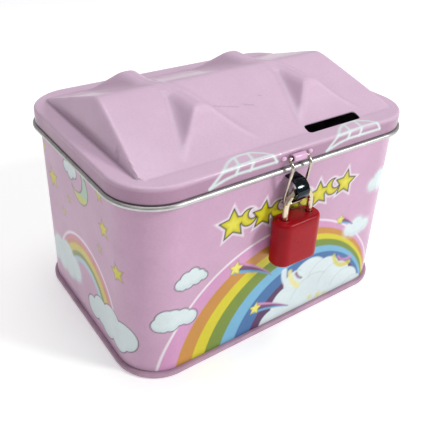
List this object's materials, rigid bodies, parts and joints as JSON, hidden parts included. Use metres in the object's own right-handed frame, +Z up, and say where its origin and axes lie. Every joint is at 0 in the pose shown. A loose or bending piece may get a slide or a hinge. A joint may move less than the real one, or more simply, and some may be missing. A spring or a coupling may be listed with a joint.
{
  "type": "money box",
  "caption": "Rectangular tin money box with rounded corners, a hinged lid embossed as a house roof, a coin slot, a wire hasp over a staple, and a small padlock.",
  "frame": {"origin": "centre of the bounding box's underside, on the surface the box stands on", "axes": "+Z up, -Y out of the front with the padlock, +X along the long side towards the coin slot"},
  "size_m": [0.1338, 0.1064, 0.0969],
  "materials": {
    "printed_pink_tin": "printed enamel, satin",
    "lid_pink_tin": "printed enamel, satin",
    "bare_tin": "rolled bare tinplate",
    "dark_nickel": "black nickel, polished",
    "bright_steel": "plated steel",
    "red_enamel": "gloss enamel",
    "brass": "satin",
    "spring_steel": "drawn wire"
  },
  "bodies": {
    "box": {"body_shell": "printed_pink_tin", "base_pan": "bare_tin", "staple": "dark_nickel", "hinge_leaf_body_left": "bare_tin", "hinge_leaf_body_right": "bare_tin", "hinge_pin_left": "bright_steel", "hinge_pin_right": "bright_steel"},
    "lid": {"lid_shell": "lid_pink_tin", "hinge_leaf_lid_left": "bare_tin", "hinge_leaf_lid_right": "bare_tin"},
    "hasp": {"hasp_wire": "bright_steel"},
    "shackle": {"shackle": "bright_steel"},
    "padlock_case": {"padlock_jacket": "red_enamel", "lock_block": "brass", "lock_bottom_plate": "bright_steel", "shackle_stop_pin": "bright_steel", "shackle_spring": "spring_steel", "latch_spring": "spring_steel"},
    "plug": {"lock_plug": "brass"},
    "latch": {"latch": "bright_steel"}
  },
  "joints": [
    {"name": "lid_open", "type": "hinge", "parent": "box", "child": "lid", "pos_m": [0, 0.05183, 0.0762], "axis": [-1, 0, 0], "range_deg": [0, 105]},
    {"name": "hasp_swing", "type": "hinge", "parent": "lid", "child": "hasp", "pos_m": [0, -0.04627, 0.0807], "axis": [-1, 0, 0], "range_deg": [0, 116]},
    {"name": "padlock_off", "type": "slide", "parent": "box", "child": "shackle", "axis": [0, -0.9023, -0.4311], "range_m": [0, 0.066]},
    {"name": "case_drop", "type": "slide", "parent": "shackle", "child": "padlock_case", "axis": [0, 0, -1], "range_m": [0, 0.0048]},
    {"name": "plug_turn", "type": "hinge", "parent": "padlock_case", "child": "plug", "pos_m": [0.0003, -0.04847, 0.0388], "axis": [0, 0, 1], "range_deg": [0, 90]},
    {"name": "latch_slide", "type": "slide", "parent": "padlock_case", "child": "latch", "axis": [-1, 0, 0], "range_m": [0, 0.0024]}
  ],
  "couplings": [
    {"joint": "hasp_swing", "follows": "lid_open", "ratio": 1.1},
    {"joint": "padlock_off", "follows": "lid_open", "m_per_rad": 0.036},
    {"joint": "plug_turn", "follows": "case_drop", "rad_per_m": 327},
    {"joint": "latch_slide", "follows": "case_drop", "ratio": 0.498}
  ]
}
